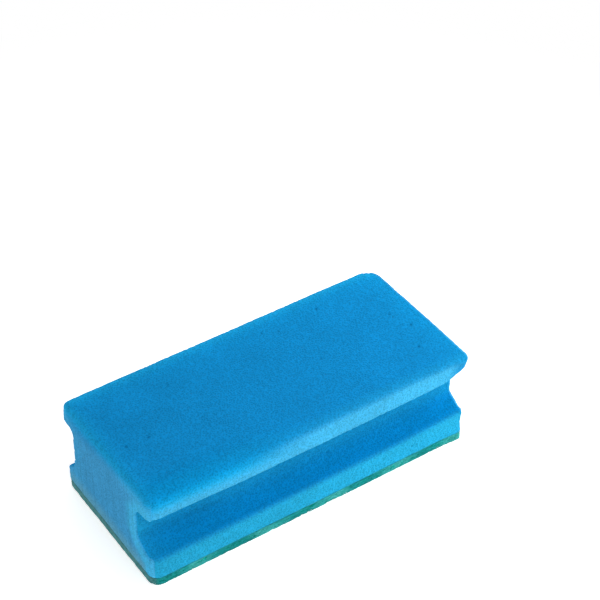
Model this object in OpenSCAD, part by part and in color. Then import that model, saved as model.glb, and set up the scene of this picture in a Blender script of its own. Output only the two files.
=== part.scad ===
// Hand-held board wiping sponge: a contour-cut block of polyurethane foam with a
// grip groove along each long side, bonded to a non-woven scouring pad.
// X runs along the block, Y across it, and Z up from the working face of the pad,
// which lies on z = 0. All lengths are in millimetres.

/* [Laminate] */
// Length of the block and its pad, along X
block_l = 140; // [80:1:200]
// Width of the block and its pad across the lips, along Y
block_w = 62; // [50:1:100]
// Radius of the four upright corners, which the cutting die leaves
corner_r = 3; // [0.5:0.5:10]

/* [Foam block] */
// Height of the foam from the glue line to the wiping face
foam_h = 40; // [32:0.5:60]
// Radius of the two long edges of the wiping face
face_edge_r = 1.2; // [0.2:0.1:3]

/* [Grip grooves] */
// Depth of each groove below the lips
groove_depth = 8.6; // [4:0.2:14]
// Height of the lower lip, from the glue line to the start of the groove
lower_lip_h = 9.4; // [4:0.2:12]
// Height of the upper lip, from the end of the groove to the wiping face
upper_lip_h = 9.4; // [4:0.2:12]
// Radius where the lower lip rolls over into the groove
lower_lip_r = 1.8; // [0.5:0.1:4]
// Radius where the upper lip turns sharply under into the groove
upper_lip_r = 1.2; // [0.5:0.1:4]
// How far the cove below the groove's floor cuts across its corner
lower_cove = 4.6; // [1:0.2:7]
// How far the cove above the groove's floor cuts across its corner
upper_cove = 2.6; // [1:0.2:7]
// Radius of the coves
cove_r = 7; // [1:0.5:12]

/* [Scouring pad] */
// Thickness of the non-woven scouring pad
pad_t = 3.2; // [1.5:0.1:8]

/* [Glue line] */
// Thickness of the cured adhesive between the foam and the pad
glue_t = 0.3; // [0.1:0.05:1]

/* [Hidden] */

foam_blue = "#1e8ccb";
glue_amber = "#c9bd8e";
pad_green = "#0a8c7c";

// Flat steps in each rounded corner of an outline
arc_steps = 8;
// The shortest corner that is rounded at all
least_bend = 0.5;

// Heights of the three layers, from the working face up
glue_z = pad_t;
foam_z = glue_z + glue_t;

// Outline of a grip groove, as heights above the glue line
groove_start = lower_lip_h;
groove_end = foam_h - upper_lip_h;
lip_y = block_w / 2;
floor_y = lip_y - groove_depth;
// A cove never reaches past this share of the groove's depth
cove_share = 0.6;
lower_leg = min(lower_cove, groove_depth * cove_share);
upper_leg = min(upper_cove, groove_depth * cove_share);

// One corner of a path as a tangent arc. The arc takes at most half of each
// neighbouring side, so that two corners never run into each other.
function rounded_corner(before, at, after, radius) =
    let (
        into = before - at,
        out = after - at,
        into_dir = into / norm(into),
        out_dir = out / norm(out),
        inside = acos(max(-1, min(1, into_dir * out_dir))),
        bend = 180 - inside,
        wanted = radius * tan(bend / 2),
        reach = min(wanted, norm(into) / 2, norm(out) / 2),
        true_radius = reach / tan(bend / 2),
        middle_dir = (into_dir + out_dir) / norm(into_dir + out_dir),
        middle = at + middle_dir * true_radius / sin(inside / 2),
        start = at + into_dir * reach - middle,
        turn = (into_dir.x * out_dir.y - into_dir.y * out_dir.x) > 0 ? -1 : 1
    )
    bend < least_bend || radius <= 0
        ? [at]
        : [for (i = [0 : arc_steps])
            let (angle = turn * bend * i / arc_steps)
            middle + [
                start.x * cos(angle) - start.y * sin(angle),
                start.x * sin(angle) + start.y * cos(angle)
            ]];

// A closed path with every corner rounded. Each corner is [point, radius].
function rounded_path(corners) =
    let (count = len(corners))
    [for (i = [0 : count - 1])
        each rounded_corner(
            corners[(i + count - 1) % count][0],
            corners[i][0],
            corners[(i + 1) % count][0],
            corners[i][1]
        )];

// Corners of the block's section on its +Y side, from the glue line up
function flank_corners() = [
    [[lip_y, 0], 0],
    [[lip_y, groove_start], lower_lip_r],
    [[floor_y + lower_leg, groove_start], cove_r],
    [[floor_y, groove_start + lower_leg], cove_r],
    [[floor_y, groove_end - upper_leg], cove_r],
    [[floor_y + upper_leg, groove_end], cove_r],
    [[lip_y, groove_end], upper_lip_r],
    [[lip_y, foam_h], face_edge_r]
];

// The same corners on the -Y side, from the wiping face down
function mirrored_corners(corners) =
    [for (i = [len(corners) - 1 : -1 : 0])
        [[-corners[i][0].x, corners[i][0].y], corners[i][1]]];

// The waisted section that the contour knife cuts, seen along the block
module foam_section() {
    flank = flank_corners();
    polygon(rounded_path(concat(flank, mirrored_corners(flank))));
}

// The rectangle with soft corners that the die cuts through all three layers
module die_outline() {
    half_l = block_l / 2;
    half_w = block_w / 2;
    polygon(rounded_path([
        [[half_l, -half_w], corner_r],
        [[half_l, half_w], corner_r],
        [[-half_l, half_w], corner_r],
        [[-half_l, -half_w], corner_r]
    ]));
}

// One layer of the laminate, from height z up
module layer(z, thickness) {
    translate([0, 0, z])
        linear_extrude(thickness)
            die_outline();
}

// Foam: the contour-cut bar, with its upright corners trimmed by the die
module foam_block() {
    color(foam_blue)
        intersection() {
            layer(foam_z, foam_h);
            translate([-block_l / 2, 0, foam_z])
                rotate([90, 0, 90])
                    linear_extrude(block_l)
                        foam_section();
        }
}

// Adhesive: one continuous cured film, cut flush with the layers that it joins
module adhesive_film() {
    color(glue_amber)
        layer(glue_z, glue_t);
}

// Pad: the abrasive non-woven that faces the board
module scouring_pad() {
    color(pad_green)
        layer(0, pad_t);
}

foam_block();
adhesive_film();
scouring_pad();
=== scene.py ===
"""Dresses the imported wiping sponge: a contour-cut foam block on a scouring pad.

Lengths are millimetres in the fields and metres in the meshes. X runs along the sponge, Y
across it, and Z up from the working face of the pad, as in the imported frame. The near end
is the one towards -X, and the front is the long side towards -Y.
"""

from __future__ import annotations

import logging
import math
from collections.abc import Mapping, Sequence
from dataclasses import dataclass, field
from enum import Enum
from typing import Any

import bmesh
import bpy
import numpy as np
from mathutils import Matrix, Vector, noise

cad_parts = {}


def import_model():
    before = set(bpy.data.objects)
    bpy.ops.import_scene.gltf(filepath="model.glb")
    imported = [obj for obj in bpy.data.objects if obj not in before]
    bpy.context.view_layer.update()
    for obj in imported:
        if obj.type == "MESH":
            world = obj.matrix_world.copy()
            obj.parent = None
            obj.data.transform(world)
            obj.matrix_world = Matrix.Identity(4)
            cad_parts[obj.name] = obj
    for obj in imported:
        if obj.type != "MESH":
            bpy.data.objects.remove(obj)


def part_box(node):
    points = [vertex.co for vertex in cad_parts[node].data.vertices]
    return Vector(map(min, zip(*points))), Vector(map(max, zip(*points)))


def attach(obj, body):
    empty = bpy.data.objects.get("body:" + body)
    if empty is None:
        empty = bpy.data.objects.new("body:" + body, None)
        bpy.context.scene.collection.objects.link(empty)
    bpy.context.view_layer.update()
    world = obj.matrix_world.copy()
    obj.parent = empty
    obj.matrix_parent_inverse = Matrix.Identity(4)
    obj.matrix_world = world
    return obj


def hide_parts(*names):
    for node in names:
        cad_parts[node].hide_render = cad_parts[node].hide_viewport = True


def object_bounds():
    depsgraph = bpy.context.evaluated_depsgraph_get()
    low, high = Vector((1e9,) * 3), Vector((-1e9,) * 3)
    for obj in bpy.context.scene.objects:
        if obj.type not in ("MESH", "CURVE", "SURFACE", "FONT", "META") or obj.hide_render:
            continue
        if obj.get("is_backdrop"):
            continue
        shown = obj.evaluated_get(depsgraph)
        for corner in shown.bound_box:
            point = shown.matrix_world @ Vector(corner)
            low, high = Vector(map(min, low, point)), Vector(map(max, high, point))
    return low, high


MM = 0.001
BAKE_MAP = "OFBake"
# A glued face takes little room on the bake map, because nothing shows it.
GLUED_SCALE = 0.08
# A face counts as level, or as part of a cut end, where its normal's share that way is over this.
LEVEL = 0.7
# Two places or values, or where a share rises from 0 to 1: from the first to the second.
Pair = tuple[float, float]
log = logging.getLogger("sponge")


class Shade(Enum):
    """The sRGB colours of the sponge and of its surroundings."""

    FOAM_FACE = "#0c86c2"
    # Painted light on the upper lip's face and on the rims of the cut ends.
    FOAM_PAINTED_EDGE_LIGHT = "#44b6e2"
    # Painted light on the lower lip, over the crisp lip, on the groove's floor and on the near end's
    # rolled edge.
    FOAM_PAINTED_LIGHT = "#26aad4"
    # Painted shade in the grooves and along the near front edge of the wiping face.
    FOAM_PAINTED_SHADE = "#0089c6"
    # Painted light over the worn lip and along the free edges of the wiping face.
    FOAM_PAINTED_GLOW = "#14bcf0"
    # Painted light on the cut ends, which look paler and greyer.
    FOAM_END_PAINTED_LIGHT = "#3f98c9"
    # Greyer towards the foot of the near end.
    FOAM_GREYED = "#5c9fba"
    FLEECE = "#02948a"
    FLEECE_LIGHT = "#05ab9c"
    FLEECE_PALE = "#09c0b0"
    # Painted shade in the fleece's gaps.
    FLEECE_PAINTED_SHADE = "#016c62"
    # Painted light on the fibres of the pad's cut edges, between and in their bands.
    FLEECE_EDGE_PAINTED_LIGHT = "#27a8a8"
    FLEECE_EDGE_PAINTED_LIGHT_BAND = "#50c7c3"
    # Greyer at the pad's near end.
    FLEECE_GREYED = "#6a979c"
    RESIN = "#2f9db8"
    PAPER = "#f6f7f5"

    @property
    def linear(self) -> tuple[float, float, float, float]:
        """The colour as linear RGBA."""
        return linear_colour(self.value)


def linear_colour(code: str) -> tuple[float, float, float, float]:
    """Turns an sRGB hex code to the linear colour that shaders take.

    Args:
        code: The colour as "#rrggbb".

    Returns:
        Linear red, green, blue and an alpha of 1.
    """
    channels = (int(code[i : i + 2], 16) / 255 for i in (1, 3, 5))
    red, green, blue = (c / 12.92 if c <= 0.04045 else ((c + 0.055) / 1.055) ** 2.4 for c in channels)
    return red, green, blue, 1.0


def add_node(
    tree: bpy.types.NodeTree,
    kind: str,
    settings: Mapping[str | int, Any] | None = None,
    links: Mapping[str | int, bpy.types.NodeSocket] | None = None,
) -> bpy.types.Node:
    """Adds a shader node with its settings and links.

    Args:
        tree: The tree that takes the node.
        kind: The node's type, such as "ShaderNodeTexNoise".
        settings: Values by the name of a node property, or by an input's name or number.
        links: Output sockets of other nodes, by the name or number of the input they feed.

    Returns:
        The new node.
    """
    node = tree.nodes.new(kind)
    for key, value in (settings or {}).items():
        if isinstance(key, str) and key.islower() and hasattr(node, key):
            setattr(node, key, value)
        else:
            node.inputs[key].default_value = value
    for key, socket in (links or {}).items():
        tree.links.new(socket, node.inputs[key])
    return node


def smooth_step(low: float, high: float, values: np.ndarray) -> np.ndarray:
    """Rises smoothly from 0 at low to 1 at high."""
    t = np.clip((values - low) / (high - low), 0.0, 1.0)
    return t * t * (3.0 - 2.0 * t)


def bell(values: np.ndarray, middle: float, width: float) -> np.ndarray:
    """Falls off from 1 at the middle, on both sides of it, to 1/e at the width."""
    return np.exp(-(((values - middle) / width) ** 2))


@dataclass(frozen=True)
class Fade:
    """A share that changes along a line of straight pieces.

    Attributes:
        at: Where the pieces meet, in millimetres.
        shares: The share at each of those places.
    """

    at: tuple[float, ...]
    shares: tuple[float, ...]

    def over(self, values: np.ndarray) -> np.ndarray:
        """The share at each value."""
        return np.interp(values, self.at, self.shares)


@dataclass(frozen=True)
class Glow:
    """A share that is largest at an edge and falls off from it.

    Attributes:
        most: The share at the edge.
        reach: The distance at which it has fallen to 1/e, in millimetres.
    """

    most: float
    reach: float

    def over(self, distances: np.ndarray) -> np.ndarray:
        """The share at each distance from the edge."""
        return self.most * np.exp(-distances / self.reach)


def drift(points: np.ndarray, size: float, seed: float) -> np.ndarray:
    """Smooth noise over points.

    Args:
        points: One point per row, in millimetres.
        size: The distance over which the noise changes, in millimetres.
        seed: Picks one of the noise's patterns.

    Returns:
        One value per point, from about -1 to 1.
    """
    shift = Vector((seed * 17.3, seed * 5.1, seed * 29.7))
    return np.array([noise.noise(Vector(p) / size + shift) for p in points])


def cell_depth(points: np.ndarray, size: float, seed: float) -> np.ndarray:
    """How far each point lies from the nearest cell centre of a random foam.

    Args:
        points: One point per row, in millimetres.
        size: The mean distance between cell centres, in millimetres.
        seed: Picks one of the foams.

    Returns:
        The distance as a share of the cell size, one value per point.
    """
    shift = Vector((seed * 11.9, seed * 23.3, seed * 7.7))
    return np.array([noise.voronoi(Vector(p) / size + shift)[0][0] for p in points])


def read_vectors(items: bpy.types.bpy_prop_collection, name: str) -> np.ndarray:
    """Reads a vector of every vertex or face of a mesh.

    Args:
        items: The vertices, the faces or the normals.
        name: What the vector is called.

    Returns:
        One vector per row.
    """
    vectors = np.empty(len(items) * 3)
    items.foreach_get(name, vectors)
    return vectors.reshape(-1, 3)


def vertex_places(mesh: bpy.types.Mesh) -> np.ndarray:
    """The places of a mesh's vertices, in millimetres."""
    return read_vectors(mesh.vertices, "co") / MM


def set_vertex_places(mesh: bpy.types.Mesh, places: np.ndarray) -> None:
    """Moves a mesh's vertices to places given in millimetres."""
    mesh.vertices.foreach_set("co", (places * MM).ravel())
    mesh.update()


def write_share(mesh: bpy.types.Mesh, name: str, values: np.ndarray) -> None:
    """Writes one value per vertex as an attribute that a material can read."""
    attribute = mesh.attributes.new(name, "FLOAT", "POINT")
    attribute.data.foreach_set("value", values.astype(np.float32))


def rounded_off(flat: np.ndarray, corner: np.ndarray, radius: np.ndarray | float) -> np.ndarray:
    """Draws the points near a square corner in to a quarter circle.

    Args:
        flat: One point per row, in millimetres outwards along the corner's two sides.
        corner: The place of the corner itself.
        radius: The radius at each point, or one radius for all of them.

    Returns:
        The moved points.
    """
    moved = flat.copy()
    centre = corner - np.broadcast_to(radius, len(flat))[:, None]
    past = flat - centre
    inside = (past > 0).all(1)
    scale = past[inside].max(1) / np.linalg.norm(past[inside], axis=1)
    moved[inside] = centre[inside] + past[inside] * scale[:, None]
    return moved


def place_object(name: str, mesh: bpy.types.Mesh) -> bpy.types.Object:
    """Puts a mesh into the scene as an object at the origin.

    Args:
        name: The object's name.
        mesh: Its mesh.

    Returns:
        The object.
    """
    made = bpy.data.objects.new(name, mesh)
    bpy.context.scene.collection.objects.link(made)
    return made


@dataclass(frozen=True)
class Patch:
    """Some of a piece's faces, laid flat for the map that its colours are baked to.

    Attributes:
        faces: For each face, whether it is in the patch.
        flat: The flat place of each vertex, in millimetres.
        scale: How large the patch is drawn; small where nothing shows it.
    """

    faces: np.ndarray
    flat: np.ndarray
    scale: float = 1.0


def lay_out(mesh: bpy.types.Mesh, patches: Sequence[Patch], gap: float = 1.0) -> None:
    """Draws a piece's patches in rows on its bake map, as wide as the widest of them.

    Args:
        mesh: The piece's mesh.
        patches: Its patches, which together take every face.
        gap: The space between two patches, in millimetres.
    """
    corners = np.empty(len(mesh.loops), np.int32)
    mesh.loops.foreach_get("vertex_index", corners)
    counts = np.empty(len(mesh.polygons), np.int32)
    mesh.polygons.foreach_get("loop_total", counts)
    face = np.repeat(np.arange(len(counts)), counts)
    drawn = np.zeros((len(corners), 2))
    pen, row_height, row_width = np.array([gap, gap]), 0.0, 0.0
    for patch in patches:
        taken = patch.faces[face]
        flat = patch.flat[corners[taken]] * patch.scale
        width, height = np.ptp(flat, axis=0)
        if row_width and pen[0] + width > row_width:
            pen, row_height = np.array([gap, pen[1] + row_height + gap]), 0.0
        drawn[taken] = flat - flat.min(0) + pen
        pen = pen + np.array([width + gap, 0.0])
        row_height = max(row_height, height)
        row_width = max(row_width, pen[0])
    sheet = np.array([row_width, pen[1] + row_height + gap])
    layer = mesh.uv_layers.new(name=BAKE_MAP)
    layer.uv.foreach_set("vector", (drawn / sheet).astype(np.float32).ravel())


def slab_patches(mesh: bpy.types.Mesh, outline: CutOutline, with_faces: bool) -> list[Patch]:
    """Lays a thin slab flat: its two faces and its four cut edges.

    Args:
        mesh: The slab's mesh.
        outline: The slab's outline.
        with_faces: Whether the slab has a lower and an upper face, or edges alone.

    Returns:
        The patches, with the upper face drawn small because it is glued.
    """
    places, middles = vertex_places(mesh), read_vectors(mesh.polygons, "center") / MM
    upright = read_vectors(mesh.polygons, "normal")[:, 2] * with_faces
    level = np.abs(upright) > LEVEL
    from_end, from_side = (outline.corner - np.abs(middles[:, :2])).T
    at_end = ~level & (from_end < from_side)
    at_side = ~level & ~at_end
    patches = []
    if with_faces:
        patches.append(Patch(level & (upright < 0), places[:, :2]))
    for sign in (-1.0, 1.0):
        patches.append(Patch(at_side & (middles[:, 1] * sign > 0), places[:, [0, 2]]))
    for sign in (-1.0, 1.0):
        patches.append(Patch(at_end & (middles[:, 0] * sign > 0), places[:, [1, 2]]))
    if with_faces:
        patches.append(Patch(level & (upright > 0), places[:, :2], scale=GLUED_SCALE))
    return patches


def remeshed(bm: bmesh.types.BMesh, name: str, grid: float) -> bpy.types.Mesh:
    """Covers a closed shape with an even grid of faces.

    Args:
        bm: The shape, in metres. It is freed.
        name: The new mesh's name.
        grid: The width of a face, in millimetres.

    Returns:
        The even mesh.
    """
    blank = bpy.data.meshes.new(name + "_blank")
    bm.to_mesh(blank)
    bm.free()
    holder = place_object(name + "_blank", blank)
    even = holder.modifiers.new("even_grid", "REMESH")
    even.mode = "VOXEL"
    even.voxel_size = grid * MM
    depsgraph = bpy.context.evaluated_depsgraph_get()
    mesh = bpy.data.meshes.new_from_object(holder.evaluated_get(depsgraph))
    mesh.name = name
    bpy.data.objects.remove(holder)
    bpy.data.meshes.remove(blank)
    return mesh


@dataclass(frozen=True)
class CutOutline:
    """The outline in plan that one cut gives the foam, the glue line and the pad.

    Attributes:
        length: Length along X.
        width: Width along Y.
        worn_radius: Radius of the near front corner, which handling has rounded.
        blunt_radius: Radius of the far back corner, which is rounded most.
        crisp_radius: Radius of the other two corners.
        end_wave: How far the blade wandered at the ends.
        wave_length: The distance over which it wandered.
        notch_depth: Depth of the shallow bite in the middle of the far end, at the pad.
        notch_width: Half of the bite's width.
        notch_height: Height at which the bite has run out.
        swell: How far the front half of the far end swells over the pad.
        swell_width: Half of the width of that swelling.
        tuck: How far the pad's near end lies inside the foam's.
        tuck_fade: Heights over which the foam takes on less and less of the tuck.
        spread: How far the pad's front edge stands out, away from the near end.
        spread_run: Places along X between which it comes to stand out.
        tip_spread: How much further it stands out at the far corner.
        tip_start: Place along X from which it does.
        spread_fade: Heights over which the foam takes on less and less of the spread.
        near_reach: Place along X up to which the wear of the near end shows.
        steepness: The power of the distance from the middle with which the ends wander.
        slant: How much less the wander changes upwards than across.
    """

    length: float
    width: float
    worn_radius: float = 4.2
    blunt_radius: float = 6.6
    crisp_radius: float = 0.8
    end_wave: float = 0.3
    wave_length: float = 20.0
    notch_depth: float = 1.4
    notch_width: float = 8.0
    notch_height: float = 34.0
    swell: float = 0.65
    swell_width: float = 24.0
    tuck: float = 0.1
    tuck_fade: Pair = (9.0, 1.0)
    spread: float = 0.3
    spread_run: Pair = (-50.0, 10.0)
    tip_spread: float = 0.5
    tip_start: float = 58.0
    spread_fade: Pair = (8.0, 2.5)
    near_reach: float = -20.0
    steepness: float = 6.0
    slant: float = 0.6

    @property
    def corner(self) -> np.ndarray:
        """Half of the length and half of the width."""
        return np.array([self.length, self.width]) / 2

    def near_share(self, x: np.ndarray) -> np.ndarray:
        """How much each place takes of what has happened to the near end, from 0 to 1."""
        return smooth_step(self.near_reach, -self.length / 2, x)

    def cut(self, places: np.ndarray) -> np.ndarray:
        """Moves points of the plain box to where they lie in the cut block."""
        return self.wander_ends(self.round_corners(places))

    def round_corners(self, places: np.ndarray) -> np.ndarray:
        """Draws the points near each upright corner in to a quarter circle.

        Args:
            places: Points in millimetres.

        Returns:
            The moved points.
        """
        moved = places.copy()
        radii = {
            (-1.0, -1.0): self.worn_radius,
            (-1.0, 1.0): self.crisp_radius,
            (1.0, -1.0): self.crisp_radius,
            (1.0, 1.0): self.blunt_radius,
        }
        for turn, radius in radii.items():
            flat = rounded_off(moved[:, :2] * turn, self.corner, radius)
            moved[:, :2] = flat * turn
        return moved

    def wander_ends(self, places: np.ndarray) -> np.ndarray:
        """Bends the two ends as the blade left them, by less and less towards the middle.

        Args:
            places: Points in millimetres.

        Returns:
            The moved points.
        """
        moved = places.copy()
        x, y, z = places.T
        half_length, half_width = self.corner
        side_on = places * np.array([0.0, 1.0, self.slant])
        share = (np.abs(x) / half_length) ** self.steepness
        for end in (-1.0, 1.0):
            wander = drift(side_on, self.wave_length, 2.0 + end) * self.end_wave
            if end > 0:
                run_out = np.clip(1.0 - z / self.notch_height, 0.0, 1.0)
                wander -= self.notch_depth * bell(y, 0.0, self.notch_width) * run_out
                swollen = bell(y, -self.width / 5, self.swell_width)
                wander += self.swell * swollen * (1.0 - run_out / 2)
            else:
                wander -= self.tuck * smooth_step(*self.tuck_fade, z)
            here = x * end > 0
            moved[here, 0] += (end * wander * share)[here]
        out = self.spread * smooth_step(*self.spread_run, x)
        out += self.tip_spread * smooth_step(self.tip_start, half_length, x)
        out *= smooth_step(*self.spread_fade, z)
        moved[:, 1] -= out * smooth_step(0.0, half_width, -y)
        return moved


def bare_material(name: str) -> tuple[bpy.types.Material, bpy.types.NodeTree, bpy.types.NodeSocket]:
    """Makes a material with nothing in it but its coordinates.

    Args:
        name: The material's name.

    Returns:
        The material, its tree and the socket of the Object coordinates, in metres.
    """
    made = bpy.data.materials.new(name)
    made.use_nodes = True
    made.node_tree.nodes.clear()
    place = add_node(made.node_tree, "ShaderNodeTexCoord").outputs["Object"]
    return made, made.node_tree, place


@dataclass(frozen=True)
class FlexiblePurFoam:
    """Finish of flexible polyurethane foam, slabstock cut with a contour knife.

    The knife opens fine cells, whose thin struts are painted with light and whose hollows,
    like the larger voids, are painted with shade. Foam has no gloss; its free edges are
    painted paler, standing in for light that gets through them, its grooves are painted
    with shade, and the blade leaves faint lines along its way.

    Attributes:
        cell: Spacing of the cells, in millimetres. Real ones are about 0.5, too fine to show.
        mottle: Size of the patches where the cells lie more open, in millimetres.
        cloud: Size of the patches where the dye took unevenly, in millimetres.
        drag: Spacing of the blade's lines, in millimetres.
        drag_run: Length of the blade's lines, in millimetres.
        roughness: Roughness of the open surface.
        bump: Depth of a cell, in millimetres.
    """

    cell: float = 0.8
    mottle: float = 1.9
    cloud: float = 22.0
    drag: float = 1.6
    drag_run: float = 34.0
    roughness: float = 0.95
    bump: float = 0.3

    def material(self) -> bpy.types.Material:
        """Builds the material, which reads the shares that FoamTints writes.

        Returns:
            The material.
        """
        made, tree, place = bare_material("flexible_polyurethane_foam")
        textures = (
            ("ShaderNodeTexVoronoi", {}, self.cell, "Distance"),
            ("ShaderNodeTexVoronoi", {"feature": "DISTANCE_TO_EDGE"}, self.cell, "Distance"),
            ("ShaderNodeTexNoise", {"Detail": 4.0, "Roughness": 0.7}, self.mottle, "Fac"),
            ("ShaderNodeTexNoise", {"Detail": 3.0, "Roughness": 0.6}, self.cloud, "Fac"),
        )
        cells, struts, mottle, clouds = (
            add_node(
                tree, kind, {**settings, "Scale": 1.0 / (size * MM)}, {"Vector": place}
            ).outputs[output]
            for kind, settings, size, output in textures
        )
        # Each pattern: its socket, its usual range, and how much it darkens and lightens. The cells
        # paint shade in their hollows and light on their struts, and the voids' share paints shade.
        patterns = (
            (cells, 0.1, 0.6, 0.80, 1.04),
            (struts, 0.02, 0.16, 1.12, 1.0),
            (mottle, 0.35, 0.65, 0.95, 1.05),
            (clouds, 0.3, 0.7, 0.94, 1.06),
            (self.blade_lines(tree, place), 0.0, 1.0, 0.0, 1.0),
            (self.share(tree, "void_painted_shade"), 0.0, 1.0, 1.0, 0.78),
        )
        colour = add_node(
            tree,
            "ShaderNodeVectorMath",
            {"operation": "SCALE"},
            {0: self.painted_and_grey_tints(tree), "Scale": self.tone(tree, patterns)},
        )
        height = add_node(tree, "ShaderNodeMath", {"operation": "ADD"}, {0: cells, 1: mottle})
        bump = add_node(
            tree,
            "ShaderNodeBump",
            {"Strength": 0.8, "Distance": self.bump * MM},
            {"Height": height.outputs[0]},
        )
        shader = add_node(
            tree,
            "ShaderNodeBsdfPrincipled",
            {
                "Roughness": self.roughness,
                "Specular IOR Level": 0.04,
                "Diffuse Roughness": 1.0,
                "Sheen Weight": 0.02,
                "Sheen Roughness": 0.6,
                "Sheen Tint": Shade.FOAM_PAINTED_EDGE_LIGHT.linear,
            },
            {"Base Color": colour.outputs[0], "Normal": bump.outputs[0]},
        )
        add_node(tree, "ShaderNodeOutputMaterial", links={"Surface": shader.outputs[0]})
        return made

    @staticmethod
    def tone(
        tree: bpy.types.NodeTree,
        patterns: Sequence[tuple[bpy.types.NodeSocket, float, float, float, float]],
    ) -> bpy.types.NodeSocket:
        """Multiplies what the patterns do to the foam's brightness.

        Args:
            tree: The material's tree.
            patterns: Each pattern's socket, the ends of its range, and the factor at each.

        Returns:
            The socket of the factor on the foam's colour.
        """
        tone: bpy.types.NodeSocket | None = None
        for pattern, low, high, dark, pale in patterns:
            factor = add_node(
                tree,
                "ShaderNodeMapRange",
                {"From Min": low, "From Max": high, "To Min": dark, "To Max": pale},
                {0: pattern},
            ).outputs[0]
            if tone is not None:
                factor = add_node(
                    tree, "ShaderNodeMath", {"operation": "MULTIPLY"}, {0: tone, 1: factor}
                ).outputs[0]
            tone = factor
        return tone

    @staticmethod
    def share(tree: bpy.types.NodeTree, name: str) -> bpy.types.NodeSocket:
        """The socket of one of the shares that FoamTints writes."""
        return add_node(tree, "ShaderNodeAttribute", {"attribute_name": name}).outputs["Fac"]

    def blade_lines(
        self, tree: bpy.types.NodeTree, place: bpy.types.NodeSocket
    ) -> bpy.types.NodeSocket:
        """Draws the blade's faint lines: upright on the cut ends, lengthwise in the grooves.

        Args:
            tree: The material's tree.
            place: The coordinates.

        Returns:
            The socket of a factor near 1, which is 1 where there are no lines.
        """
        fine, run = 1.0 / (self.drag * MM), 1.0 / (self.drag_run * MM)
        tone: bpy.types.NodeSocket | None = None
        # Upright lines where the cut ends' painted light lies, lengthwise where the grooves' painted
        # shade lies.
        cuts = (
            ("end_painted_light_share", (fine, fine, run), 0.87, 1.13),
            ("painted_shade_share", (run, fine, fine), 0.93, 1.07),
        )
        for name, scale, dark, pale in cuts:
            stretched = add_node(tree, "ShaderNodeMapping", {"Scale": scale}, {"Vector": place})
            lines = add_node(
                tree,
                "ShaderNodeTexNoise",
                {"Scale": 1.0, "Detail": 2.0},
                {"Vector": stretched.outputs[0]},
            )
            shade = add_node(
                tree,
                "ShaderNodeMapRange",
                {"From Min": 0.3, "From Max": 0.7, "To Min": dark, "To Max": pale},
                {0: lines.outputs["Fac"]},
            )
            mixed = add_node(
                tree,
                "ShaderNodeMix",
                {"data_type": "FLOAT", 2: 1.0},
                {0: self.share(tree, name), 3: shade.outputs[0]},
            )
            if tone is not None:
                tree.links.new(tone, mixed.inputs[2])
            tone = mixed.outputs[0]
        return tone

    def painted_and_grey_tints(self, tree: bpy.types.NodeTree) -> bpy.types.NodeSocket:
        """Mixes the foam's painted light and shade tints, and its greyer foot, by their shares.

        Args:
            tree: The material's tree.

        Returns:
            The socket of the mixed colour.
        """
        colour: bpy.types.NodeSocket | None = None
        # Painted shade in the grooves and at the near front edge; painted light on the cut ends, over
        # the worn lip and the face's edges, on the lower lip, and on the upper lip and the rims; and a
        # greyer foot at the near end.
        tints = (
            ("painted_shade_share", Shade.FOAM_PAINTED_SHADE),
            ("end_painted_light_share", Shade.FOAM_END_PAINTED_LIGHT),
            ("greyed_foot_share", Shade.FOAM_GREYED),
            ("painted_glow_share", Shade.FOAM_PAINTED_GLOW),
            ("painted_light_share", Shade.FOAM_PAINTED_LIGHT),
            ("painted_edge_light_share", Shade.FOAM_PAINTED_EDGE_LIGHT),
        )
        for name, shade in tints:
            mix = add_node(
                tree,
                "ShaderNodeMix",
                {"data_type": "RGBA", 6: Shade.FOAM_FACE.linear, 7: shade.linear},
                {0: self.share(tree, name)},
            )
            if colour is not None:
                tree.links.new(colour, mix.inputs[6])
            colour = mix.outputs[2]
        return colour


@dataclass(frozen=True)
class Contour:
    """One long side's rounded contour, as a line from the glue line up to the wiping face.

    Attributes:
        points: Its points: the distance from the middle of the block, and the height.
    """

    points: np.ndarray

    @classmethod
    def read(cls, bm: bmesh.types.BMesh) -> Contour:
        """Reads the contour off the near end of the contoured blank.

        Args:
            bm: The blank, in metres.

        Returns:
            The contour of the side towards +Y.
        """
        start = min(v.co.x for v in bm.verts) + 0.1 * MM
        end = next(f for f in bm.faces if all(v.co.x < start for v in f.verts))
        loop = np.array([v.co.yz for v in end.verts]) / MM
        right = loop[:, 0] > 0
        first = int(np.argmax(right & ~np.roll(right, 1)))
        points = np.roll(loop, -first, axis=0)[: right.sum()]
        return cls(points if points[0, 1] < points[-1, 1] else points[::-1])

    @property
    def length(self) -> float:
        """The length along the whole line."""
        return float(np.linalg.norm(np.diff(self.points, axis=0), axis=1).sum())

    def nearest(self, places: np.ndarray) -> tuple[np.ndarray, np.ndarray]:
        """Finds the point of the contour that lies nearest to each place.

        Args:
            places: Points in millimetres, on either side of the block.

        Returns:
            The distance of each place from the contour, and the length along the contour
            from its foot up to the nearest point.
        """
        section = np.stack([np.abs(places[:, 1]), places[:, 2]], 1)
        distance = np.full(len(places), np.inf)
        run = np.zeros(len(places))
        passed = 0.0
        for start, end in zip(self.points, self.points[1:]):
            length = float(np.linalg.norm(end - start))
            way = (end - start) / length
            along = np.clip((section - start) @ way, 0.0, length)
            gap = np.linalg.norm(section - start - along[:, None] * way, axis=1)
            closer = gap < distance
            distance[closer] = gap[closer]
            run[closer] = passed + along[closer]
            passed += length
        return distance, run


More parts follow.
